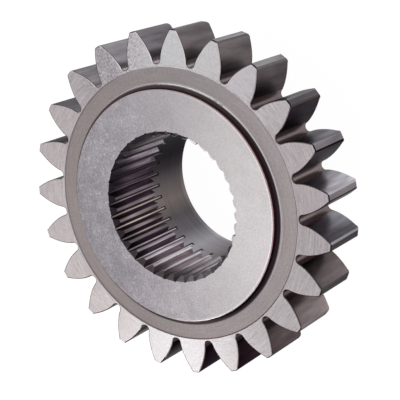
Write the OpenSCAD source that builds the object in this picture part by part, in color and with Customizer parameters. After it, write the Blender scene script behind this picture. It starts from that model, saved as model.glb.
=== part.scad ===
// Straight-cut transmission gear with a splined bore.
// The axis is Z. The rear hub's end face lies on z = 0 and the boss faces up.

/* [Teeth] */
// Number of teeth
tooth_count = 23; // [20:1:30]
// Module: pitch diameter over number of teeth
tooth_module = 3.25; // [2.8:0.05:4]
// Pressure angle of the flanks, in degrees
pressure_angle = 25; // [20:0.5:28]
// Profile shift, in modules
profile_shift = 0.2; // [0:0.05:0.4]
// Height of a tooth above the shifted pitch circle, in modules
addendum = 0.95; // [0.8:0.05:1]
// Depth of a tooth space below the shifted pitch circle, in modules
dedendum = 1.5; // [1.25:0.05:1.6]
// Width of the toothed rim along the axis
face_w = 13.4; // [8:0.1:25]
// Round along both sides of every tip
tip_round = 0.35; // [0.1:0.05:0.5]
// Chamfer on the front end of every tip
front_cut = 0.25; // [0.1:0.05:1]
// Round on the rear end of every tip
rear_round = 1; // [0.2:0.1:1.5]

/* [Front face] */
// Gap between the roots of the teeth and the turned ring
ring_gap = 0.75; // [0.3:0.05:2]
// Width of the turned ring, from that gap to the boss
ring_w = 4.8; // [2:0.1:7]
// Depth of the ring below the faces of the teeth
ring_depth = 0.25; // [0.1:0.05:1]
// Height of the boss above the ring
boss_h = 2; // [1.5:0.1:6]
// Radius of the hollow at the foot of the boss
boss_fillet = 1.05; // [0.3:0.05:1.2]
// Chamfer on the boss's rim
boss_cut = 0.2; // [0.1:0.05:0.4]

/* [Rear hub] */
// Wall of the hub round the plain bore
hub_wall = 4; // [2:0.1:7]
// Length of the hub behind the teeth
hub_h = 16.3; // [10:0.1:30]
// Radius of the hollow at the foot of the hub
hub_fillet = 2; // [0.5:0.1:4]
// Chamfer on the hub's end
hub_cut = 0.8; // [0.2:0.1:1.5]

/* [Bore] */
// Diameter across the lands of the splines
land_d = 33.5; // [30:0.1:35]
// Number of grooves between the lands
groove_count = 38; // [30:1:42]
// Depth of the grooves below the lands
groove_depth = 1.3; // [0.8:0.05:1.8]
// Width of each land
land_w = 0.85; // [0.6:0.05:1.2]
// Width of each groove at its bottom
groove_w = 0.6; // [0.4:0.05:0.9]
// Turn of the grooves against the teeth, in degrees
groove_turn = 6.4; // [0:0.1:9]
// Length of the lands, from the boss's face
spline_len = 17; // [8:0.5:22]
// Length of the grooves behind the lands
run_out = 3.7; // [0.5:0.1:5]
// Depth of the lead-in at the boss's face, below the lands
lead_depth = 1.15; // [0.4:0.05:1.8]
// Depth of the plain bore behind the splines, below the lands
plain_depth = 1.05; // [0.5:0.05:1.8]
// Chamfer at the rear end of the plain bore
plain_cut = 0.5; // [0.2:0.1:1]

/* [Hidden] */
$fn = 96;
flank_steps = 12;
round_steps = 4;
degrees = 180 / PI;
// how far a cut runs past the face it leaves
spare = 1;

pitch_r = tooth_module * tooth_count / 2;
base_r = pitch_r * cos(pressure_angle);
tip_r = pitch_r + (profile_shift + addendum) * tooth_module;
root_r = pitch_r + (profile_shift - dedendum) * tooth_module;
tooth_pitch = 360 / tooth_count;

ring_r = root_r - ring_gap;
boss_r = ring_r - ring_w;
land_r = land_d / 2;
groove_r = land_r + groove_depth;
lead_r = land_r + lead_depth;
plain_r = land_r + plain_depth;
hub_r = plain_r + hub_wall;

rear_z = hub_h;
face_z = rear_z + face_w;
ring_z = face_z - ring_depth;
boss_z = ring_z + boss_h;
lands_z = boss_z - spline_len;

// angle between a radius and the involute's start, at the radius where the profile leans by a
function involute(a) = tan(a) * degrees - a;

// half the angle of a tooth on the pitch circle, and of a space on the base circle
half_tooth = (90 + 2 * profile_shift * tan(pressure_angle) * degrees) / tooth_count;
half_space = tooth_pitch / 2 - half_tooth - involute(pressure_angle);

function polar(r, a) = [r * cos(a), r * sin(a)];

// point of a flank, by the angle that its string has unrolled from the base circle
function roll_at(r) = sqrt(max(0, pow(r / base_r, 2) - 1)) * degrees;
function flank_point(roll) =
    let (t = roll / degrees)
    polar(base_r * sqrt(1 + t * t), half_space + roll - atan(t));

// distance from a point on a space's middle line to the flank, and the point
// where a round as wide as the space just reaches down to the root circle
function reach(c) =
    c > base_r
        ? sqrt(c * c - base_r * base_r) - base_r * (acos(base_r / c) - half_space) / degrees
        : c * sin(half_space);
function settle(c, n) = n == 0 ? c : settle(root_r + reach(c), n - 1);
root_c = settle(root_r, 12);
root_fillet = root_c - root_r;
deep_root = root_c <= base_r;
first_roll = deep_root ? 0 : acos(base_r / root_c) - half_space;
last_roll = roll_at(tip_r - tip_round);

// the round of a tip: a curve that leaves the flank, bends below the tip's corner and meets the tip
corner = flank_point(roll_at(tip_r));
flank_end = flank_point(last_roll);
round_len = norm(corner - flank_end);
land_angle = atan2(corner.y, corner.x) + round_len / tip_r * degrees;
land_end = polar(tip_r, land_angle);
function round_point(t) = (1 - t) * (1 - t) * flank_end + 2 * t * (1 - t) * corner + t * t * land_end;

// one side of a tooth space, from its round root out past the tips
outside_r = tip_r / cos(tooth_pitch / 2) + spare;
space_side = concat(
    deep_root ? [polar(root_c * cos(half_space), half_space)] : [],
    [for (i = [0:flank_steps]) flank_point(first_roll + (last_roll - first_roll) * i / flank_steps)],
    [for (i = [1:round_steps]) round_point(i / round_steps)],
    [polar(outside_r, land_angle)]
);

function mirrored(side) = [for (i = [len(side) - 1:-1:0]) [side[i].x, -side[i].y]];

module tooth_space() {
    translate([root_c, 0]) circle(r = root_fillet);
    polygon(concat(space_side, mirrored(space_side)));
}

module tooth_spaces() {
    translate([0, 0, rear_z - hub_fillet])
        linear_extrude(face_w + hub_fillet + boss_h)
            for (i = [0:tooth_count - 1])
                rotate((i + 0.5) * tooth_pitch) tooth_space();
}

// a hollow of radius r in the corner between a shaft and the face it stands on
module hollow(r) {
    difference() {
        square(r);
        translate([r, r]) circle(r = r);
    }
}

// half section of everything that is turned, without the bore
module half_section() {
    polygon([
        [0, 0],
        [hub_r - hub_cut, 0],
        [hub_r, hub_cut],
        [hub_r, rear_z],
        [tip_r - rear_round, rear_z],
        [tip_r, rear_z + rear_round],
        [tip_r, face_z - front_cut],
        [tip_r - front_cut, face_z],
        [ring_r + ring_depth, face_z],
        [ring_r, ring_z],
        [boss_r, ring_z],
        [boss_r, boss_z - boss_cut],
        [boss_r - boss_cut, boss_z],
        [0, boss_z]
    ]);
    translate([tip_r - rear_round, rear_z + rear_round]) circle(r = rear_round);
    translate([boss_r, ring_z]) hollow(boss_fillet);
    translate([hub_r, rear_z]) mirror([0, 1]) hollow(hub_fillet);
}

// outline of the splined stretch: flat lands with a groove between each two
module spline_outline() {
    step = 360 / groove_count;
    land_half = land_w / 2 / land_r * degrees;
    groove_half = groove_w / 2 / groove_r * degrees;
    polygon([
        for (i = [0:groove_count - 1])
            each [
                polar(land_r, (i - 0.5) * step + land_half),
                polar(groove_r, i * step - groove_half),
                polar(groove_r, i * step + groove_half),
                polar(land_r, (i + 0.5) * step - land_half)
            ]
    ]);
}

module splined_bore() {
    translate([0, 0, lands_z - run_out])
        linear_extrude(spline_len + run_out + spare)
            rotate(groove_turn) spline_outline();
    translate([0, 0, -spare]) cylinder(r = plain_r, h = lands_z + spare);
    translate([0, 0, boss_z - lead_depth]) cylinder(r1 = land_r, r2 = lead_r, h = lead_depth);
    cylinder(r1 = plain_r + plain_cut, r2 = plain_r, h = plain_cut);
}

module gear() {
    color([0.66, 0.64, 0.63])
        difference() {
            rotate_extrude() half_section();
            tooth_spaces();
            splined_bore();
        }
}

gear();
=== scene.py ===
# Straight-cut transmission gear, standing on its hub on a pale table under studio light.
import math

import bpy
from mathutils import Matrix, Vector


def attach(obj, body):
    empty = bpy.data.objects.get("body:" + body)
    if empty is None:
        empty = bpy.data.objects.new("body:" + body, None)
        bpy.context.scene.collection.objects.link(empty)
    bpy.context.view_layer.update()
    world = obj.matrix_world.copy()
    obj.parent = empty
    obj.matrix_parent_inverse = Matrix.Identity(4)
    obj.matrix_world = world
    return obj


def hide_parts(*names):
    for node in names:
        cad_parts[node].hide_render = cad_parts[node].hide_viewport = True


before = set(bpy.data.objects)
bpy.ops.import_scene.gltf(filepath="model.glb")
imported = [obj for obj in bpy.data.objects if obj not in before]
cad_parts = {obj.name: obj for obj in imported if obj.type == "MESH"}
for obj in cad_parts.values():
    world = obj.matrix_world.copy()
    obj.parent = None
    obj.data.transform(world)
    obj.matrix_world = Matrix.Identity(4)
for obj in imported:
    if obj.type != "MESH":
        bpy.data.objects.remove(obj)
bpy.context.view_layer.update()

mm = 0.001

# heights and radii of the gear in millimetres, which tell one surface from another
gearSizes = {
    "rearFace": 16.3,
    "toothFace": 29.7,
    "ringFace": 29.45,
    "bossFace": 31.45,
    "splineCount": 38,
    "landRadius": 16.75,
    "grooveRadius": 18.05,
    "hubRadius": 21.8,
    "bossRadius": 27.6,
    "ringRadius": 32.4,
    "rootRadius": 33.15,
    "filletEnd": 34.45,
    "tipRadius": 41.11,
}


# steel: helpers that put a node material together, with places read in millimetres

def addNode(steel, kind, **settings):
    node = steel["nodes"].new(kind)
    for key, value in settings.items():
        setattr(node, key, value)
    return node


def link(steel, source, target):
    steel["links"].new(source, target)


def startSteel(name, roughness, anisotropy=0.0, grazing=1.0, metallic=1.0):
    material = bpy.data.materials.new(name)
    material.use_nodes = True
    steel = {"material": material, "nodes": material.node_tree.nodes, "links": material.node_tree.links}
    steel["nodes"].clear()
    output = addNode(steel, "ShaderNodeOutputMaterial")
    shader = addNode(steel, "ShaderNodeBsdfPrincipled")
    link(steel, shader.outputs["BSDF"], output.inputs["Surface"])
    shader.inputs["Metallic"].default_value = metallic
    shader.inputs["Roughness"].default_value = roughness
    shader.inputs["Specular Tint"].default_value = (grazing, grazing, grazing, 1)     # low on oily dark steel
    shader.inputs["Anisotropic"].default_value = anisotropy
    shader.inputs["Anisotropic Rotation"].default_value = 0.25     # glints lie across the tool marks
    steel["shader"] = shader
    if anisotropy > 0:
        around = addNode(steel, "ShaderNodeTangent", direction_type="RADIAL", axis="Z")
        link(steel, around.outputs["Tangent"], shader.inputs["Tangent"])

    place = addNode(steel, "ShaderNodeTexCoord")
    inMillimetres = addNode(steel, "ShaderNodeMapping")
    inMillimetres.inputs["Scale"].default_value = (1 / mm, 1 / mm, 1 / mm)
    link(steel, place.outputs["Object"], inMillimetres.inputs["Vector"])
    steel["place"] = inMillimetres.outputs["Vector"]
    return steel


def calculate(steel, operation, first, second=None):
    node = addNode(steel, "ShaderNodeMath", operation=operation)
    for socket, value in zip(node.inputs, (first, second)):
        if isinstance(value, (int, float)):
            socket.default_value = value
        elif value is not None:
            link(steel, value, socket)
    return node.outputs["Value"]


def stretch(steel, vector, scale):
    node = addNode(steel, "ShaderNodeVectorMath", operation="MULTIPLY")
    link(steel, vector, node.inputs[0])
    node.inputs[1].default_value = scale
    return node.outputs["Vector"]


# how finely a noise is broken up
softDetail = 3.0
mediumDetail = 4.0
fineDetail = 5.0


def noiseOn(steel, vector, scale, detail):
    node = addNode(steel, "ShaderNodeTexNoise")
    node.inputs["Scale"].default_value = scale
    node.inputs["Detail"].default_value = detail
    link(steel, vector, node.inputs["Vector"])
    return node.outputs["Fac"]


def grainOn(steel, scale, detail):
    # a grain that swings evenly about 0
    return calculate(steel, "SUBTRACT", noiseOn(steel, steel["place"], scale, detail), 0.5)


def between(steel, value, low, high, atLow=0.0, atHigh=1.0, soft=False):
    node = addNode(steel, "ShaderNodeMapRange")
    if soft:
        node.interpolation_type = "SMOOTHSTEP"
    for name, number in (("From Min", low), ("From Max", high), ("To Min", atLow), ("To Max", atHigh)):
        node.inputs[name].default_value = number
    link(steel, value, node.inputs["Value"])
    return node.outputs["Result"]


def alongDirection(steel, side):
    # how far a place lies towards this side of the gear, in millimetres
    node = addNode(steel, "ShaderNodeVectorMath", operation="DOT_PRODUCT")
    link(steel, steel["place"], node.inputs[0])
    node.inputs[1].default_value = (math.cos(math.radians(side)), math.sin(math.radians(side)), 0)
    return node.outputs["Value"]


def radiusAt(steel):
    node = addNode(steel, "ShaderNodeVectorMath", operation="LENGTH")
    link(steel, stretch(steel, steel["place"], (1, 1, 0)), node.inputs[0])
    return node.outputs["Value"]


def aroundAndAcross(steel, around, across):
    # coordinates for marks that run round the axis: slow along the circle, fast across it
    flat = stretch(steel, steel["place"], (1, 1, 0))
    heading = addNode(steel, "ShaderNodeVectorMath", operation="NORMALIZE")
    link(steel, flat, heading.inputs[0])
    slow = addNode(steel, "ShaderNodeSeparateXYZ")
    link(steel, stretch(steel, heading.outputs["Vector"], (around, around, around)), slow.inputs["Vector"])
    joined = addNode(steel, "ShaderNodeCombineXYZ")
    link(steel, slow.outputs["X"], joined.inputs["X"])
    link(steel, slow.outputs["Y"], joined.inputs["Y"])
    link(steel, calculate(steel, "MULTIPLY", radiusAt(steel), across), joined.inputs["Z"])
    return joined.outputs["Vector"]


def angleAt(steel):
    # the angle round the axis, from 0 at -X through 0.5 at +X and back to 1
    split = addNode(steel, "ShaderNodeSeparateXYZ")
    link(steel, steel["place"], split.inputs["Vector"])
    turn = calculate(steel, "ARCTAN2", split.outputs["Y"], split.outputs["X"])
    return between(steel, turn, -math.pi, math.pi)


def heightAt(steel):
    split = addNode(steel, "ShaderNodeSeparateXYZ")
    link(steel, steel["place"], split.inputs["Vector"])
    return split.outputs["Z"]


def distanceTo(steel, vector, point):
    node = addNode(steel, "ShaderNodeVectorMath", operation="DISTANCE")
    link(steel, vector, node.inputs[0])
    node.inputs[1].default_value = point
    return node.outputs["Value"]


def mixColors(steel, factor, first, second):
    node = addNode(steel, "ShaderNodeMix", data_type="RGBA")
    link(steel, factor, node.inputs["Factor"])
    link(steel, first, node.inputs["A"])
    link(steel, second, node.inputs["B"])
    return node.outputs["Result"]


def brighten(steel, color, level):
    node = addNode(steel, "ShaderNodeVectorMath", operation="SCALE")
    link(steel, color, node.inputs[0])
    link(steel, level, node.inputs["Scale"])
    return node.outputs["Vector"]


def colorStops(steel, value, stops):
    node = addNode(steel, "ShaderNodeValToRGB")
    link(steel, value, node.inputs["Fac"])
    elements = node.color_ramp.elements
    while len(elements) < len(stops):
        elements.new(0.5)
    for element, (position, color) in zip(elements, stops):
        element.position = position
        element.color = (*color, 1)
    return node.outputs["Color"]


def colorAround(steel, stops):
    # a colour that changes round the axis: each stop is an angle from +X in degrees, and a colour
    return colorStops(steel, angleAt(steel), [((angle + 180) / 360, color) for angle, color in stops])


def levelStops(steel, value, span, stops):
    # a brightness that changes along a span: each stop is a value in it and the level there
    low, high = span
    scaled = between(steel, value, low, high)
    return colorStops(steel, scaled, [((at - low) / (high - low), (level,) * 3) for at, level in stops])


# painted highlights: narrow rings of a face made brighter on one side of the gear
rimFade = (-8, 12)     # millimetres towards the lit side, over which the light on a rim grows


def rimLight(steel, rim):
    # painted highlight: a level above 1 on a narrow ring, on one side of the gear
    ring = between(steel, radiusAt(steel), rim["faint"], rim["strong"], 0, rim["amount"], soft=True)
    onSide = between(steel, alongDirection(steel, rim["side"]), *rimFade, soft=True)
    return calculate(steel, "ADD", calculate(steel, "MULTIPLY", ring, onSide), 1.0)


def finishSteel(steel, color):
    link(steel, color, steel["shader"].inputs["Base Color"])
    return steel["material"]


# ground face of the boss: cloudy and grainy on one side, smoother on the other; painted light makes it
# brighter on one side, with a painted highlight ring near its edge
groundLook = {
    # colours round the axis, which carry painted light and shade
    "stops": [(-180, (0.515, 0.48, 0.50)), (-120, (0.585, 0.55, 0.56)), (-60, (0.515, 0.485, 0.49)),
              (-10, (0.432, 0.402, 0.423)), (45, (0.480, 0.450, 0.488)), (140, (0.450, 0.415, 0.450)),
              (180, (0.515, 0.48, 0.50))],
    "roughness": 0.267, "coarseSide": 90, "coarseFade": (-12, 22),
    "grainScale": 2.2, "grain": 1.15, "smoothGrain": 0.40,
    "speckScale": 0.8, "speckFade": (0.55, 0.72), "speck": 0.36,
    "cloudScale": 0.30, "cloud": 0.75, "smoothCloud": 0.1875,
    "rim": {"faint": 27.0, "strong": 27.3, "amount": 0.33, "side": -110},
}


def makeGroundFace(look):
    steel = startSteel("groundFace", look["roughness"])
    coarse = between(steel, alongDirection(steel, look["coarseSide"]), *look["coarseFade"], soft=True)
    grain = grainOn(steel, look["grainScale"], mediumDetail)
    amount = between(steel, coarse, 0, 1, look["smoothGrain"], look["grain"])
    level = calculate(steel, "ADD", calculate(steel, "MULTIPLY", grain, amount), 1.0)
    specks = noiseOn(steel, steel["place"], look["speckScale"], fineDetail)
    specks = between(steel, specks, *look["speckFade"], 0, look["speck"])
    specks = calculate(steel, "MULTIPLY", specks, coarse)
    clouds = grainOn(steel, look["cloudScale"], fineDetail)
    amount = between(steel, coarse, 0, 1, look["smoothCloud"], look["cloud"])
    clouds = calculate(steel, "MULTIPLY", clouds, amount)
    level = calculate(steel, "ADD", level, specks)
    level = calculate(steel, "ADD", level, clouds)
    # painted highlight ring near the boss's edge
    level = calculate(steel, "MULTIPLY", level, rimLight(steel, look["rim"]))
    return finishSteel(steel, brighten(steel, colorAround(steel, look["stops"]), level))


# faces of the teeth: marks that run round the axis, faint along two sides of the gear, and a mottled patch;
# their colour round the axis carries painted highlights and reflections
brushedLook = {
    "stops": [(-180, (0.64, 0.60, 0.61)), (-135, (0.62, 0.575, 0.59)), (-105, (0.50, 0.455, 0.47)),
              (-75, (0.525, 0.475, 0.495)), (-40, (0.61, 0.58, 0.60)), (-12, (0.575, 0.57, 0.58)),
              (15, (0.445, 0.413, 0.438)), (40, (0.65, 0.585, 0.60)), (105, (0.69, 0.63, 0.63)),
              (135, (0.59, 0.535, 0.54)), (165, (0.635, 0.62, 0.635)), (180, (0.64, 0.60, 0.61))],
    "roughness": 0.476, "anisotropy": 0.77, "marks": 0.21, "marksAcross": 4.5, "marksAround": 9.0,
    "smoothSide": -17, "smoothFade": (29, 34), "smoothMarks": 0.25, "grainScale": 2.4, "grain": 0.50,
    "patchPlace": (38, 9, 29.7), "patchFade": (8.4, 12), "patchGrain": 2.0,
}
wideMarks = (0.25, 0.75)       # the stretch of a noise that soft marks are made of
narrowMarks = (0.3, 0.7)       # and harder ones


def makeBrushedFace(look):
    steel = startSteel("brushedFace", look["roughness"], look["anisotropy"])
    marks = noiseOn(steel, aroundAndAcross(steel, look["marksAround"], look["marksAcross"]), 1.0, softDetail)
    marks = between(steel, marks, *wideMarks, -look["marks"], look["marks"])
    fromMiddle = calculate(steel, "ABSOLUTE", alongDirection(steel, look["smoothSide"]))
    marked = between(steel, fromMiddle, *look["smoothFade"], 1, look["smoothMarks"], soft=True)
    patch = distanceTo(steel, steel["place"], look["patchPlace"])
    patch = between(steel, patch, *look["patchFade"], 1, 0, soft=True)
    amount = between(steel, patch, 0, 1, look["grain"], look["patchGrain"])
    grain = calculate(steel, "MULTIPLY", grainOn(steel, look["grainScale"], fineDetail), amount)
    level = calculate(steel, "ADD", calculate(steel, "MULTIPLY", marks, marked), 1.0)
    level = calculate(steel, "ADD", level, grain)
    # the colour round the axis is painted highlight and reflection
    return finishSteel(steel, brighten(steel, colorAround(steel, look["stops"]), level))


# the hollow round the boss has painted shadow up to a circle that lies a little off the axis, and beyond it a
# pale colour with a painted highlight on one side
hollowLook = {
    "roughness": 0.30, "grazing": 0.3, "middle": (-0.265, 0.459, 0), "paintedShadowUpTo": 28.52, "reach": 0.42,
    # pale colours round the axis, with a painted highlight from about -45 to 22 degrees
    "stops": [(-180, (0.46, 0.40, 0.41)), (-60, (0.47, 0.42, 0.43)), (-45, (0.66, 0.61, 0.60)),
              (-25, (1.0, 0.99, 0.98)), (2, (1.0, 0.95, 0.92)), (22, (0.62, 0.54, 0.53)),
              (180, (0.46, 0.40, 0.41))],
    # colours of the painted shadow round the axis
    "paintedShadowStops": [(-180, (0.030, 0.017, 0.020)), (-168, (0.015, 0.009, 0.011)), (-157, (0.026, 0.017, 0.022)),
                  (-130, (0.062, 0.042, 0.056)), (-60, (0.072, 0.053, 0.062)), (-20, (0.17, 0.135, 0.145)),
                  (20, (0.19, 0.130, 0.145)), (150, (0.10, 0.065, 0.072)), (180, (0.030, 0.017, 0.020))],
}


def paintedHollowShadow(steel, look, inside, outside):
    # painted shadow: one level up to the dark circle of the hollow, and another beyond it
    away = distanceTo(steel, stretch(steel, steel["place"], (1, 1, 0)), look["middle"])
    edge = look["paintedShadowUpTo"]
    return between(steel, away, edge, edge + look["reach"], inside, outside, soft=True)


def makeHollow(look):
    steel = startSteel("hollow", look["roughness"], grazing=look["grazing"])
    paintedShadow, paleWithHighlight = colorAround(steel, look["paintedShadowStops"]), colorAround(steel, look["stops"])
    return finishSteel(steel, mixColors(steel, paintedHollowShadow(steel, look, 0, 1), paintedShadow, paleWithHighlight))


# turned surfaces: faint marks round the axis; the ring's colour round the axis carries painted reflections,
# with the hollow's painted shadow on it and a painted highlight ring, and the rear is nearly even
turnedLooks = {
    "turnedRing": {
        "stops": [(-180, (0.330, 0.290, 0.292)), (-135, (0.298, 0.262, 0.265)), (-75, (0.322, 0.286, 0.292)),
                  (-20, (0.308, 0.277, 0.283)), (30, (0.368, 0.320, 0.318)), (85, (0.425, 0.366, 0.360)),
                  (120, (0.375, 0.325, 0.323)), (150, (0.302, 0.260, 0.260)), (180, (0.330, 0.290, 0.292))],
        "roughness": 0.327, "anisotropy": 0.06, "marks": 0.10, "marksAround": 5.0, "marksAcross": 3.2,
        "grainScale": 2.0, "grain": 0.55, "inShade": 0.14,
        "rim": {"faint": 29.0, "strong": 28.75, "amount": 0.50, "side": -50},
    },
    "turnedRear": {
        "stops": [(-180, (0.40, 0.37, 0.36)), (0, (0.37, 0.345, 0.34)), (180, (0.40, 0.37, 0.36))],
        "roughness": 0.38, "anisotropy": 0.40, "marks": 0.14, "marksAround": 5.0, "marksAcross": 3.0,
        "grainScale": 2.0, "grain": 0.12, "inShade": 1.0, "rim": None,
    },
}


def makeTurned(name, look):
    steel = startSteel(name, look["roughness"], look["anisotropy"])
    marks = noiseOn(steel, aroundAndAcross(steel, look["marksAround"], look["marksAcross"]), 1.0, softDetail)
    grain = calculate(steel, "MULTIPLY", grainOn(steel, look["grainScale"], mediumDetail), look["grain"])
    level = between(steel, marks, *wideMarks, 1 - look["marks"], 1 + look["marks"])
    level = calculate(steel, "ADD", level, grain)
    if look["inShade"] < 1:
        # painted shadow of the hollow on the ring
        level = calculate(steel, "MULTIPLY", level, paintedHollowShadow(steel, hollowLook, look["inShade"], 1))
    if look["rim"]:
        # painted highlight ring
        level = calculate(steel, "MULTIPLY", level, rimLight(steel, look["rim"]))
    return finishSteel(steel, brighten(steel, colorAround(steel, look["stops"]), level))


# flanks, roots, tips and tip rounds of the teeth: dark oily steel, with painted reflections and painted shade
# that change from tooth to tooth round the gear;
# flanks and tips are a mid grey where the photo hides them
# rear, front, root and tip: how bright a flank is there, as a share of its colour, painted light and shade
# along and up the tooth
flankLooks = {
    "flankAhead": {
        "stops": [(-180, (0.030, 0.020, 0.026)), (-166, (0.030, 0.020, 0.024)), (-156, (0.090, 0.066, 0.069)),
                  (-141, (0.290, 0.235, 0.236)), (-127, (0.190, 0.156, 0.158)), (-119, (0.155, 0.128, 0.133)),
                  (-112, (0.082, 0.074, 0.086)), (-107, (0.100, 0.094, 0.110)), (-104, (0.52, 0.50, 0.56)),
                  (-97, (0.62, 0.60, 0.66)), (-90, (0.66, 0.63, 0.70)), (-78, (0.35, 0.33, 0.37)),
                  (-60, (0.25, 0.23, 0.25)), (-40, (0.27, 0.25, 0.26)), (115, (0.27, 0.25, 0.26)),
                  (138, (0.060, 0.040, 0.052)), (160, (0.035, 0.024, 0.030)), (180, (0.030, 0.020, 0.026))],
        "roughness": 0.26, "grazing": 0.42, "marks": 0.28,
        "rear": 1.25, "front": 0.60, "root": 0.65, "tip": 1.2,
    },
    "flankBehind": {
        "stops": [(-180, (0.26, 0.24, 0.25)), (-125, (0.26, 0.24, 0.25)), (-94, (0.24, 0.22, 0.24)),
                  (-78, (0.070, 0.060, 0.073)), (-62, (0.064, 0.052, 0.062)), (-47, (0.180, 0.152, 0.157)),
                  (-31, (0.235, 0.202, 0.208)), (-16, (0.215, 0.190, 0.200)), (0, (0.265, 0.250, 0.272)),
                  (16, (0.41, 0.395, 0.425)), (31, (0.31, 0.288, 0.308)), (47, (0.175, 0.160, 0.174)),
                  (60, (0.045, 0.040, 0.046)), (85, (0.26, 0.24, 0.25)), (180, (0.26, 0.24, 0.25))],
        "roughness": 0.36, "grazing": 0.45, "marks": 0.28,
        "rear": 0.90, "front": 1.0, "root": 1.0, "tip": 1.0,
    },
    "toothRoot": {
        "stops": [(-180, (0.070, 0.046, 0.053)), (-150, (0.110, 0.070, 0.080)), (-135, (0.20, 0.13, 0.14)),
                  (-105, (0.30, 0.24, 0.24)), (-45, (0.25, 0.20, 0.21)), (-15, (0.58, 0.51, 0.52)),
                  (15, (0.54, 0.49, 0.52)), (50, (0.18, 0.16, 0.17)), (160, (0.080, 0.050, 0.058)),
                  (180, (0.070, 0.046, 0.053))],
        "roughness": 0.38, "grazing": 0.7, "marks": 0.20,
        "rear": 1.0, "front": 1.0, "root": 1.0, "tip": 1.0,
    },
    "toothTip": {
        "stops": [(-180, (0.28, 0.26, 0.27)), (-160, (0.28, 0.26, 0.27)), (-138, (0.030, 0.024, 0.026)),
                  (-122, (0.030, 0.024, 0.026)), (-108, (0.065, 0.054, 0.061)), (-94, (0.28, 0.245, 0.265)),
                  (-78, (0.26, 0.230, 0.247)), (-62, (0.13, 0.118, 0.128)), (-46, (0.39, 0.377, 0.397)),
                  (-30, (0.45, 0.433, 0.45)), (-20, (0.36, 0.35, 0.36)), (-8, (0.14, 0.13, 0.14)),
                  (25, (0.28, 0.26, 0.27)), (180, (0.28, 0.26, 0.27))],
        "roughness": 0.30, "grazing": 0.6, "marks": 0.25,
        "rear": 1.0, "front": 1.0, "root": 1.0, "tip": 1.0,
    },
    "roundAhead": {
        "stops": [(-180, (0.030, 0.022, 0.026)), (-160, (0.030, 0.024, 0.026)), (-150, (0.17, 0.14, 0.145)),
                  (-135, (0.34, 0.28, 0.29)), (-122, (0.060, 0.048, 0.054)), (-114, (0.090, 0.080, 0.090)),
                  (-103, (0.62, 0.60, 0.67)), (-88, (0.62, 0.58, 0.63)), (-72, (0.20, 0.19, 0.20)),
                  (-50, (0.55, 0.53, 0.55)), (-20, (0.62, 0.60, 0.62)), (0, (0.28, 0.26, 0.27)),
                  (115, (0.28, 0.26, 0.27)), (145, (0.050, 0.038, 0.044)), (180, (0.030, 0.022, 0.026))],
        "roughness": 0.20, "grazing": 0.42, "marks": 0.10,
        "rear": 1.0, "front": 1.0, "root": 1.0, "tip": 1.0,
    },
    "roundBehind": {
        "stops": [(-180, (0.28, 0.26, 0.27)), (-120, (0.28, 0.26, 0.27)), (-105, (0.030, 0.026, 0.032)),
                  (-76, (0.022, 0.018, 0.021)), (-58, (0.150, 0.128, 0.130)), (-42, (0.23, 0.21, 0.215)),
                  (-26, (0.12, 0.105, 0.115)), (-10, (0.30, 0.28, 0.30)), (5, (0.28, 0.265, 0.28)),
                  (20, (0.38, 0.37, 0.38)), (55, (0.07, 0.06, 0.065)), (80, (0.28, 0.26, 0.27)),
                  (180, (0.28, 0.26, 0.27))],
        "roughness": 0.20, "grazing": 0.42, "marks": 0.10,
        "rear": 1.0, "front": 1.0, "root": 1.0, "tip": 1.0,
    },
}


flankRun = (0.7, 0.7, 0.12)     # the cutter's marks run along the tooth
# a flank's painted light and shade change from root to tip
fullTipAt = gearSizes["tipRadius"] - 1.5       # radius from which a flank has its tip's brightness


def makeFlank(name, look):
    steel = startSteel(name, look["roughness"], grazing=look["grazing"])
    marks = noiseOn(steel, stretch(steel, steel["place"], flankRun), 1.0, mediumDetail)
    level = between(steel, marks, *narrowMarks, 1 - look["marks"], 1 + look["marks"])
    rear, front = gearSizes["rearFace"], gearSizes["toothFace"]
    # painted light and shade along the tooth, between the rear face and the front
    fade = between(steel, heightAt(steel), rear, front, look["rear"], look["front"])
    level = calculate(steel, "MULTIPLY", level, fade)
    if look["tip"] != look["root"]:
        rise = between(steel, radiusAt(steel), gearSizes["filletEnd"], fullTipAt, look["root"], look["tip"])
        level = calculate(steel, "MULTIPLY", level, rise)
    return finishSteel(steel, brighten(steel, colorAround(steel, look["stops"]), level))
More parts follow.
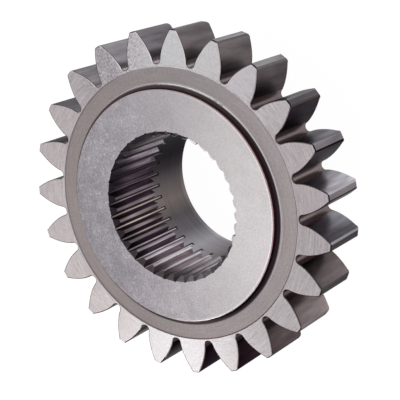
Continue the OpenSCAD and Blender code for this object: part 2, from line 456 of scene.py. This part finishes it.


# the bore: lands, groove sides and bottoms, the lead-in and the plain stretch; their colours round the axis
# carry painted reflections and shade
# run: how the marks are stretched, highlight streak: a painted highlight line along each land or groove
# bottom, placed in shares
# of one pitch, heights: a height in millimetres and how bright the painted light and shade make the steel
# there
boreLooks = {
    "splineLand": {
        "stops": [(-180, (0.25, 0.215, 0.245)), (-150, (0.30, 0.27, 0.30)), (10, (0.27, 0.235, 0.25)),
                  (37, (0.038, 0.029, 0.041)), (52, (0.024, 0.017, 0.024)), (67, (0.034, 0.026, 0.035)),
                  (82, (0.215, 0.182, 0.205)), (97, (0.25, 0.205, 0.218)), (112, (0.125, 0.098, 0.109)),
                  (127, (0.36, 0.31, 0.365)), (142, (0.90, 0.83, 0.91)), (157, (0.86, 0.79, 0.84)),
                  (172, (0.34, 0.30, 0.325)), (180, (0.25, 0.215, 0.245))],
        "roughness": 0.30, "metallic": 1.0, "run": (1.8, 1.8, 0.10),
        "highlightStreak": {"middle": 0.20, "half": 0.07, "level": 1.5, "beside": 0.45}, "marks": 0.60,
        "heights": [(10, 0.8), (17, 0.85), (19.5, 1.15), (25, 1.15), (28.5, 0.70), (31.45, 0.75)],
    },
    "splineSide": {
        "stops": [(-180, (0.54, 0.49, 0.54)), (-150, (0.26, 0.235, 0.25)), (-100, (0.60, 0.57, 0.59)),
                  (-20, (0.30, 0.27, 0.29)), (15, (0.110, 0.092, 0.105)), (30, (0.28, 0.240, 0.260)),
                  (42, (0.66, 0.59, 0.64)), (56, (0.47, 0.41, 0.455)), (68, (0.22, 0.175, 0.215)),
                  (90, (0.27, 0.200, 0.240)), (112, (0.245, 0.180, 0.222)), (127, (0.245, 0.198, 0.222)),
                  (142, (0.60, 0.505, 0.55)), (158, (0.55, 0.475, 0.51)), (180, (0.54, 0.49, 0.54))],
        "roughness": 0.30, "metallic": 1.0, "run": (1.8, 1.8, 0.10),
        "highlightStreak": None, "marks": 0.50,
        "heights": [(10, 0.9), (15, 1.1), (24, 1.15), (28.5, 0.55), (31.45, 0.50)],
    },
    "splineBottom": {
        "stops": [(-180, (0.60, 0.54, 0.57)), (52, (0.065, 0.053, 0.066)), (67, (0.034, 0.027, 0.033)),
                  (82, (0.28, 0.222, 0.238)), (97, (0.60, 0.49, 0.46)), (112, (0.38, 0.31, 0.315)),
                  (127, (0.50, 0.42, 0.46)), (142, (1.0, 0.95, 1.0)), (158, (0.60, 0.53, 0.56)),
                  (180, (0.60, 0.54, 0.57))],
        "roughness": 0.30, "metallic": 1.0, "run": (1.8, 1.8, 0.10),
        "highlightStreak": {"middle": 0.675, "half": 0.028, "level": 1.5, "beside": 0.18}, "marks": 0.50,
        "heights": [(10, 0.8), (15, 0.9), (21, 1.25), (25, 1.1), (28, 0.6), (31.45, 0.35)],
    },
    "leadIn": {
        "stops": [(-180, (0.46, 0.41, 0.47)), (-160, (0.75, 0.69, 0.75)), (-135, (1.0, 0.93, 0.96)),
                  (-15, (0.050, 0.038, 0.050)), (30, (0.070, 0.050, 0.068)), (60, (0.045, 0.033, 0.045)),
                  (105, (0.092, 0.067, 0.082)), (135, (0.185, 0.135, 0.155)), (160, (0.24, 0.19, 0.20)),
                  (180, (0.46, 0.41, 0.47))],
        "roughness": 0.30, "metallic": 1.0, "run": (1.8, 1.8, 0.10),
        "highlightStreak": None, "marks": 0.20, "heights": [(10, 1.0), (31.45, 1.0)],
    },
    # the pale lead-in is a painted highlight on one side of the bore's edge
    "paleLeadIn": {
        "stops": [(-180, (1.0, 0.98, 0.98)), (180, (1.0, 0.98, 0.98))],
        "roughness": 0.50, "metallic": 0.35, "run": (1.8, 1.8, 0.10),
        "highlightStreak": None, "marks": 0.20, "heights": [(10, 1.0), (31.45, 1.0)],
    },
    "plainBore": {
        "stops": [(-180, (0.15, 0.14, 0.15)), (0, (0.10, 0.09, 0.09)), (14, (0.010, 0.008, 0.012)),
                  (60, (0.022, 0.018, 0.024)), (70, (0.055, 0.045, 0.050)), (84, (0.175, 0.15, 0.155)),
                  (97, (0.255, 0.215, 0.205)), (111, (0.145, 0.128, 0.135)), (126, (0.20, 0.19, 0.21)),
                  (142, (0.52, 0.50, 0.545)), (157, (0.38, 0.35, 0.375)), (170, (0.20, 0.18, 0.19)),
                  (180, (0.15, 0.14, 0.15))],
        "roughness": 0.30, "metallic": 1.0, "run": (0.10, 0.10, 3.0),
        "highlightStreak": None, "marks": 0.13, "heights": [(0, 1.3), (1.2, 1.3), (2.2, 0.95), (9, 1.0), (14.5, 1.15)],
    },
}


boreGrazing = 0.6
boreSpan = (0, 32)      # heights between which the bore's levels are given
highlightStreakFade = 2.4        # a streak has faded away at this many times its half width


def makeBoreSteel(name, look):
    steel = startSteel(name, look["roughness"], grazing=boreGrazing, metallic=look["metallic"])
    marks = noiseOn(steel, stretch(steel, steel["place"], look["run"]), 1.0, mediumDetail)
    level = between(steel, marks, *narrowMarks, 1 - look["marks"], 1 + look["marks"])
    # painted light and shade along the bore's height
    level = calculate(steel, "MULTIPLY", level, levelStops(steel, heightAt(steel), boreSpan, look["heights"]))
    # a painted highlight line along each land or groove bottom
    highlightStreak = look["highlightStreak"]
    if highlightStreak:
        pitches = calculate(steel, "MULTIPLY", angleAt(steel), gearSizes["splineCount"])
        away = calculate(steel, "SUBTRACT", calculate(steel, "FRACT", pitches), highlightStreak["middle"])
        away = calculate(steel, "ABSOLUTE", away)
        half = highlightStreak["half"]
        line = between(steel, away, half, highlightStreakFade * half, highlightStreak["level"], highlightStreak["beside"], soft=True)
        level = calculate(steel, "MULTIPLY", level, line)
    return finishSteel(steel, brighten(steel, colorAround(steel, look["stops"]), level))


# narrow edges: painted highlights on some and painted dark lines on others, both changing round the axis; the
# dark ones have little shine at a glancing view
edgeLooks = {
    "edgeBright": {
        "stops": [(-180, (0.43, 0.37, 0.37)), (-135, (0.135, 0.107, 0.112)), (-100, (0.150, 0.115, 0.125)),
                  (-60, (0.28, 0.22, 0.23)), (-40, (0.42, 0.35, 0.36)), (-15, (0.78, 0.70, 0.70)),
                  (55, (0.95, 0.92, 0.93)), (80, (0.68, 0.63, 0.64)), (130, (0.45, 0.41, 0.42)),
                  (180, (0.43, 0.37, 0.37))],
        "grazing": 1.0, "metallic": 1.0,
    },
    "edgeDark": {
        "stops": [(-180, (0.060, 0.036, 0.040)), (-60, (0.062, 0.034, 0.038)), (-20, (0.15, 0.10, 0.105)),
                  (20, (0.16, 0.12, 0.125)), (45, (0.060, 0.038, 0.042)), (180, (0.060, 0.036, 0.040))],
        "grazing": 0.25, "metallic": 1.0,
    },
    "edgeLeft": {
        "stops": [(-180, (0.070, 0.045, 0.050)), (180, (0.070, 0.045, 0.050))],
        "grazing": 0.25, "metallic": 1.0,
    },
    "ringEdge": {
        "stops": [(-180, (0.56, 0.49, 0.51)), (-165, (0.58, 0.51, 0.54)), (-135, (0.62, 0.55, 0.60)),
                  (-100, (0.31, 0.28, 0.31)), (-70, (0.28, 0.25, 0.27)), (-45, (0.80, 0.78, 0.82)),
                  (-12, (0.76, 0.77, 0.78)), (15, (0.36, 0.33, 0.35)), (75, (0.65, 0.58, 0.59)),
                  (135, (0.49, 0.42, 0.43)), (180, (0.56, 0.49, 0.51))],
        "grazing": 1.0, "metallic": 1.0,
    },
    # painted highlight line round the boss's rim
    "bossRim": {
        "stops": [(-180, (0.86, 0.80, 0.79)), (-165, (1.0, 0.96, 0.93)), (-140, (1.0, 0.92, 0.93)),
                  (-112, (0.80, 0.50, 0.55)), (-90, (0.84, 0.60, 0.61)), (-60, (0.96, 0.71, 0.69)),
                  (-40, (0.96, 0.76, 0.75)), (-10, (0.80, 0.66, 0.68)), (10, (0.82, 0.68, 0.70)),
                  (45, (0.34, 0.22, 0.24)), (160, (0.22, 0.16, 0.17)), (180, (0.86, 0.80, 0.79))],
        "grazing": 1.0, "metallic": 0.4,
    },
    # painted shade on the boss's wall
    "bossWall": {
        "stops": [(-180, (0.20, 0.055, 0.085)), (-120, (0.165, 0.036, 0.060)), (-60, (0.28, 0.105, 0.125)),
                  (0, (0.40, 0.21, 0.22)), (180, (0.20, 0.055, 0.085))],
        "grazing": 0.25, "metallic": 1.0,
    },
}
edgeRoughness = 0.37


def makeEdge(name, look):
    steel = startSteel(name, edgeRoughness, grazing=look["grazing"], metallic=look["metallic"])
    return finishSteel(steel, colorAround(steel, look["stops"]))


steels = {"groundFace": makeGroundFace(groundLook), "brushedFace": makeBrushedFace(brushedLook)}
for name, look in turnedLooks.items():
    steels[name] = makeTurned(name, look)
for name, look in flankLooks.items():
    steels[name] = makeFlank(name, look)
steels["hollow"] = makeHollow(hollowLook)
for name, look in boreLooks.items():
    steels[name] = makeBoreSteel(name, look)
for name, look in edgeLooks.items():
    steels[name] = makeEdge(name, look)
print("steel finishes made:", len(steels))


# the gear: the CAD solid's own shape, with broken edges round the teeth
gearLook = {
    "name": "gear_finished",
    "mergeWithin": 0.005 * mm,
    "sliversUpTo": 0.02 * mm,
    "flatWithin": math.radians(0.1),
    "edgeBreak": 0.25 * mm,
    "edgeSegments": 2,
    "smoothUpTo": math.radians(35),
    "flatFaceWeight": 100,      # wide flat faces keep their own normal
}

# shares of a face's normal along the axis
levelFrom = 0.98
uprightUpTo = 0.3


def copyOfNode(node, name):
    bpy.ops.object.select_all(action="DESELECT")
    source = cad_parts[node]
    source.select_set(True)
    bpy.context.view_layer.objects.active = source
    bpy.ops.object.duplicate()
    copied = bpy.context.view_layer.objects.active
    copied.name = name
    copied.data.name = name
    for key in list(copied.keys()):
        del copied[key]
    copied.parent = None
    copied.data.materials.clear()
    return copied


def mergeLooseFaces(piece, look):
    bpy.ops.object.mode_set(mode="EDIT")
    bpy.ops.mesh.select_mode(type="EDGE")
    bpy.ops.mesh.select_all(action="SELECT")
    bpy.ops.mesh.remove_doubles(threshold=look["mergeWithin"])
    bpy.ops.mesh.dissolve_degenerate(threshold=look["sliversUpTo"])
    bpy.ops.mesh.dissolve_limited(angle_limit=look["flatWithin"])
    bpy.ops.mesh.select_all(action="DESELECT")
    bpy.ops.object.mode_set(mode="OBJECT")


def radiusOf(point):
    return math.hypot(point.x, point.y) / mm


def breakToothEdges(piece, height, up, look):
    # rounds the outline of the teeth in the plane at this height, in narrow strips
    mesh = piece.data
    inPlane = 0.02       # millimetres
    rootSlack = 0.05
    level, upright = set(), set()
    for face in mesh.polygons:
        if face.normal.z * up > levelFrom and abs(face.center.z / mm - height) < inPlane:
            level.update(face.edge_keys)
        elif abs(face.normal.z) < uprightUpTo:
            upright.update(face.edge_keys)
    for edge in mesh.edges:
        innermost = min(radiusOf(mesh.vertices[index].co) for index in edge.vertices)
        onTeeth = innermost > gearSizes["rootRadius"] - rootSlack
        edge.select = onTeeth and edge.key in level and edge.key in upright
    bpy.ops.object.mode_set(mode="EDIT")
    bpy.ops.mesh.bevel(
        offset=look["edgeBreak"], segments=look["edgeSegments"], affect="EDGES", clamp_overlap=False,
    )
    bpy.ops.mesh.select_all(action="DESELECT")
    bpy.ops.object.mode_set(mode="OBJECT")


# which finish a level face has: these are told apart by height alone, because some reach right round the bore
levelFinishes = {"bossFace": "groundFace", "ringFace": "turnedRing", "toothFace": "brushedFace"}


def levelFinish(height, within=0.05):
    for plane, slotName in levelFinishes.items():
        if abs(height - gearSizes[plane]) < within:
            return slotName
    return "turnedRear"


# the bore's faces, by the shares of their normal along the axis and away from it, and by millimetres
boreRules = {
    "sloping": 0.3,       # along the axis: lead-in and run-out
    "facing": -0.97,      # away from the axis: lands, groove bottoms and plain bore look straight at it
    "within": 0.1,
    # the pale lead-in is a painted highlight on these sides
    "paleSides": (-128, -30.5),      # degrees from +X between which the lead-in is pale
}


def boreFinish(radius, up, outward, side):
    rules = boreRules
    if up > rules["sloping"]:
        first, last = rules["paleSides"]
        return "paleLeadIn" if first < side < last else "leadIn"
    if up < -rules["sloping"] or outward > rules["facing"]:
        return "splineSide"
    if radius < gearSizes["landRadius"] + rules["within"]:
        return "splineLand"
    if radius > gearSizes["grooveRadius"] - rules["within"]:
        return "splineBottom"
    return "plainBore"


# the teeth's faces, by the same shares of their normal, and by millimetres below the tips
toothRules = {
    "edgeBand": 0.26,          # how far the broken edges reach in from the tooth faces
    # front edges that look left get a painted dark line; the other broken edges get painted highlights or
    # painted dark lines
    "leftFrom": 35,            # front edges that look above this many degrees from +X are dark,
    "leftUpTo": -140,          # and so are those below this many
    "edgeUp": 0.2,             # the steeper of an edge's two strips
    "brightUp": 0.6,           # and the flatter one
    "brightBelow": 0.3,
    "darkBelow": 1.1,
    "tipEndBand": 1.2,         # the rounded rear ends of the tips
    "tipEndUp": -0.1,
    "tipOutward": 0.985,
    "tipRoundBand": 0.36,      # the rounds along both sides of a tip
}


def toothFinish(radius, height, up, outward, ahead, looksTo):
    rules, tip = toothRules, gearSizes["tipRadius"]
    onEdge = max(height - gearSizes["toothFace"], gearSizes["rearFace"] - height) > -rules["edgeBand"]
    looksLeft = looksTo > rules["leftFrom"] or looksTo < rules["leftUpTo"]
    if onEdge and up > rules["edgeUp"] and looksLeft:
        return "edgeLeft"
    if onEdge and abs(up) > rules["brightUp"] and radius < tip - rules["brightBelow"]:
        return "edgeBright"
    if onEdge and abs(up) > rules["edgeUp"] and (up > 0 or radius < tip - rules["darkBelow"]):
        return "edgeDark"
    if radius > tip - rules["tipEndBand"] and up < rules["tipEndUp"]:
        return "toothTip"
    if radius < gearSizes["filletEnd"]:
        return "toothRoot"
    if outward > rules["tipOutward"]:
        return "toothTip"
    if radius > tip - rules["tipRoundBand"]:
        return "roundAhead" if ahead > 0 else "roundBehind"
    return "flankAhead" if ahead > 0 else "flankBehind"


# how far past their own sizes the boss, the ring and the hub reach, in millimetres
bodyRules = {
    "boreReach": 0.25,
    "hubChamfer": 0.6,        # the hub's end chamfer at the bore belongs to the hub
    "rimReach": 0.1,
    "rimDepth": 0.25,
    "hollowReach": 1.2,
    "ringDepth": 0.01,
    "wallUp": 0.02,           # share of the normal along the axis up to which the boss's wall is upright
    "ringReach": 0.3,
    "hubReach": 2.5,
}


def finishOf(face):
    # which steel a face has, by its place and by the way it looks
    sizes, rules = gearSizes, bodyRules
    center, normal = face.center, face.normal
    radius, height, up = radiusOf(center), center.z / mm, normal.z
    if abs(up) > levelFrom:
        return levelFinish(height)
    outward = (center.x * normal.x + center.y * normal.y) / max(math.hypot(center.x, center.y), 1e-9)
    if radius < sizes["grooveRadius"] + rules["boreReach"] and (height > rules["hubChamfer"] or outward < 0):
        return boreFinish(radius, up, outward, math.degrees(math.atan2(center.y, center.x)))
    pastBoss = radius - sizes["bossRadius"]
    if pastBoss < rules["rimReach"] and height > sizes["bossFace"] - rules["rimDepth"]:
        return "bossRim"
    if pastBoss < rules["hollowReach"] and height > sizes["ringFace"] - rules["ringDepth"]:
        return "bossWall" if abs(up) < rules["wallUp"] else "hollow"
    if radius < sizes["ringRadius"] + rules["ringReach"] and height > sizes["ringFace"]:
        return "ringEdge"
    if radius < sizes["hubRadius"] + rules["hubReach"]:
        return "turnedRear"
    ahead = center.x * normal.y - center.y * normal.x       # above 0 where the face looks on round the gear
    return toothFinish(radius, height, up, outward, ahead, math.degrees(math.atan2(normal.y, normal.x)))


def keepCrispEdges(piece, names, soft):
    # an edge between two finishes stays sharp, unless the finishes flow into each other
    mesh = piece.data
    finishes = {}
    for face in mesh.polygons:
        for key in face.edge_keys:
            finishes.setdefault(key, set()).add(names[face.material_index])
    for edge in mesh.edges:
        pair = finishes.get(edge.key, set())
        if len(pair) > 1 and not pair <= soft:
            edge.use_edge_sharp = True


gear = copyOfNode("gear", gearLook["name"])
mergeLooseFaces(gear, gearLook)
breakToothEdges(gear, gearSizes["toothFace"], 1, gearLook)
breakToothEdges(gear, gearSizes["rearFace"], -1, gearLook)
slots = list(steels)
for slotName in slots:
    gear.data.materials.append(steels[slotName])
counts = {slotName: 0 for slotName in slots}
for face in gear.data.polygons:
    slotName = finishOf(face)
    face.material_index = slots.index(slotName)
    counts[slotName] += 1
bpy.ops.object.select_all(action="DESELECT")
gear.select_set(True)
bpy.context.view_layer.objects.active = gear
bpy.ops.object.shade_smooth_by_angle(angle=gearLook["smoothUpTo"])
keepCrispEdges(gear, slots, set(flankLooks))
bpy.ops.object.modifier_add(type="WEIGHTED_NORMAL")
gear.modifiers["WeightedNormal"].weight = gearLook["flatFaceWeight"]
gear.modifiers["WeightedNormal"].keep_sharp = True
bpy.ops.object.modifier_apply(modifier="WeightedNormal")
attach(gear, "root")
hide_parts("gear")
print("gear dressed, faces of each finish:", counts)


# the table that the gear stands on: white to the camera, pale with the gear's shadow in the steel
tableLook = {
    "size": 6.0,     # metres
    "color": (0.88, 0.88, 0.88),
    "glow": 1.12,
    "seenWhite": 0.86,          # share of the glow that the camera sees
    "mirroredWhite": 0.482,     # share of it that the steel mirrors
}


def makeTableTop(look):
    top = {"material": bpy.data.materials.new("paleTable")}
    top["material"].use_nodes = True
    top["nodes"], top["links"] = top["material"].node_tree.nodes, top["material"].node_tree.links
    top["nodes"].clear()
    output = addNode(top, "ShaderNodeOutputMaterial")
    paint = addNode(top, "ShaderNodeBsdfDiffuse")
    paint.inputs["Color"].default_value = (*look["color"], 1)
    glow = addNode(top, "ShaderNodeEmission")
    glow.inputs["Color"].default_value = (1, 1, 1, 1)
    glow.inputs["Strength"].default_value = look["glow"]
    rays = addNode(top, "ShaderNodeLightPath")
    mirrored = calculate(top, "MAXIMUM", rays.outputs["Is Glossy Ray"], rays.outputs["Is Transmission Ray"])
    share = calculate(
        top, "MAXIMUM",
        calculate(top, "MULTIPLY", mirrored, look["mirroredWhite"]),
        calculate(top, "MULTIPLY", rays.outputs["Is Camera Ray"], look["seenWhite"]),
    )
    blend = addNode(top, "ShaderNodeMixShader")
    link(top, share, blend.inputs["Fac"])
    link(top, paint.outputs["BSDF"], blend.inputs[1])
    link(top, glow.outputs["Emission"], blend.inputs[2])
    link(top, blend.outputs["Shader"], output.inputs["Surface"])
    return top["material"]


bpy.ops.object.select_all(action="DESELECT")
bpy.ops.mesh.primitive_plane_add(size=tableLook["size"], location=(0, 0, 0))
table = bpy.context.view_layer.objects.active
table.name = "table"
table.data.materials.append(makeTableTop(tableLook))
print("table laid")


# studio light: a large soft box overhead and a smaller one low down, in a grey room
# side and up are in degrees, side from +X, distance and width in metres, and glow is how bright a lamp looks
lampLooks = {
    "overheadBox": {"side": 114, "up": 79, "distance": 0.9, "width": 0.966, "glow": 1.05},
    "lowBox": {"side": 132, "up": 21, "distance": 0.9, "width": 0.60, "glow": 4.8},
}
lampsAimAt = Vector((0, 0, 20 * mm))
for lampName, look in lampLooks.items():
    side, up = math.radians(look["side"]), math.radians(look["up"])
    away = Vector((math.cos(side) * math.cos(up), math.sin(side) * math.cos(up), math.sin(up)))
    bpy.ops.object.light_add(type="AREA", location=lampsAimAt + away * look["distance"])
    lamp = bpy.context.view_layer.objects.active
    lamp.name = lampName
    lamp.rotation_euler = away.to_track_quat("Z", "Y").to_euler()
    lamp.data.shape = "DISK"
    lamp.data.size = look["width"]
    discArea = math.pi * (look["width"] / 2) ** 2
    lamp.data.energy = look["glow"] * math.pi * discArea

roomLook = {"color": (1.0, 1.0, 1.0), "strength": 0.32}
room = bpy.data.worlds.new("paleRoom")
bpy.context.scene.world = room
room.use_nodes = True
backdrop = room.node_tree.nodes["Background"]
backdrop.inputs["Color"].default_value = (*roomLook["color"], 1)
backdrop.inputs["Strength"].default_value = roomLook["strength"]
print("lamps placed")


# camera: where it stands in millimetres, how it is turned in degrees, and its lens and film in millimetres
cameraLook = {
    "place": (42.778, -186.483, 270.678),
    "turn": (-17.362, 33.598, -106.186),
    "lens": 119.637,
    "filmWidth": 36,
    "nearest": 10,      # nothing closer than this is drawn
}
bpy.ops.object.camera_add(
    location=Vector(cameraLook["place"]) * mm,
    rotation=[math.radians(angle) for angle in cameraLook["turn"]],
)
camera = bpy.context.view_layer.objects.active
camera.name = "camera"
camera.data.lens = cameraLook["lens"]
camera.data.sensor_width = cameraLook["filmWidth"]
camera.data.sensor_fit = "HORIZONTAL"
camera.data.clip_start = cameraLook["nearest"] * mm
bpy.context.scene.camera = camera
bpy.context.scene.view_settings.view_transform = "Standard"
print("camera set")
